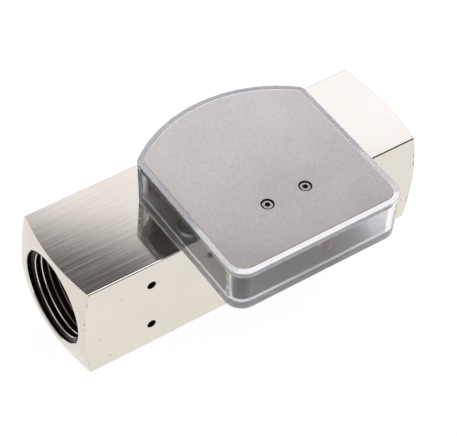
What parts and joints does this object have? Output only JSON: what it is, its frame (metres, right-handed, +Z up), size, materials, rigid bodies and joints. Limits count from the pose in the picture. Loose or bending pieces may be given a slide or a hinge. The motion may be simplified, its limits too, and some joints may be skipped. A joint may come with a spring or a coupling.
{
  "type": "variable area flow meter",
  "caption": "Square nickel-plated in-line flow meter with threaded ports, a sprung piston on a metering cone and a magnet-driven pointer in a clear overhanging housing with an aluminium lid.",
  "frame": {"origin": "centre of the square body's underside, halfway between the ports", "axes": "+X along the flow from the inlet to the outlet, +Z up through the indicator housing, -Y towards the side that the housing overhangs"},
  "size_m": [0.134, 0.0718, 0.058],
  "materials": {
    "nickel_plate": "bright nickel plate over brass, drawn streaks along the bar",
    "clear_plastic": "clear moulded plastic",
    "satin_aluminium": "fine satin, unprinted",
    "grey_plate": "matt dark grey",
    "stainless_steel": "turned",
    "brass": "turned",
    "bronze": "sintered",
    "magnet": "pressed ferrite",
    "red_plastic": "satin moulded",
    "white_plastic": "matt, printed with plain graduations"
  },
  "bodies": {
    "meter_body": {"flow_body": "nickel_plate", "inlet_spider": "stainless_steel", "inlet_retaining_ring": "stainless_steel", "cone_nut": "stainless_steel", "metering_cone": "stainless_steel", "outlet_spider": "stainless_steel", "return_spring": "stainless_steel", "indicator_housing": "clear_plastic", "floor_plate": "grey_plate", "housing_screws": "stainless_steel", "housing_washers": "stainless_steel", "lid_plate": "satin_aluminium", "lid_screws": "stainless_steel", "lid_pillars": "stainless_steel", "pillar_screws": "stainless_steel", "lower_bearing": "bronze", "upper_bearing": "bronze", "scale_strip": "white_plastic"},
    "piston": {"piston_sleeve": "brass", "orifice_disc": "brass", "orifice_retainer": "brass", "transfer_magnet": "magnet", "magnet_retainer": "brass"},
    "pointer": {"pointer_spindle": "stainless_steel", "pointer": "red_plastic", "follower_magnet": "magnet", "balance_weight": "brass"}
  },
  "joints": [
    {"name": "piston_slide", "type": "slide", "parent": "meter_body", "child": "piston", "axis": [1, 0, 0], "range_m": [0, 0.0309], "stiffness_N_per_m": 60, "springref_m": -0.01, "deforming": ["return_spring"]},
    {"name": "pointer_swing", "type": "hinge", "parent": "meter_body", "child": "pointer", "pos_m": [0.00245, -0.0309, 0.05], "axis": [0, 0, 1], "range_deg": [-60.5, 0.5]}
  ],
  "couplings": [
    {"joint": "pointer_swing", "follows": "piston_slide", "rad_per_m": -33.89}
  ]
}
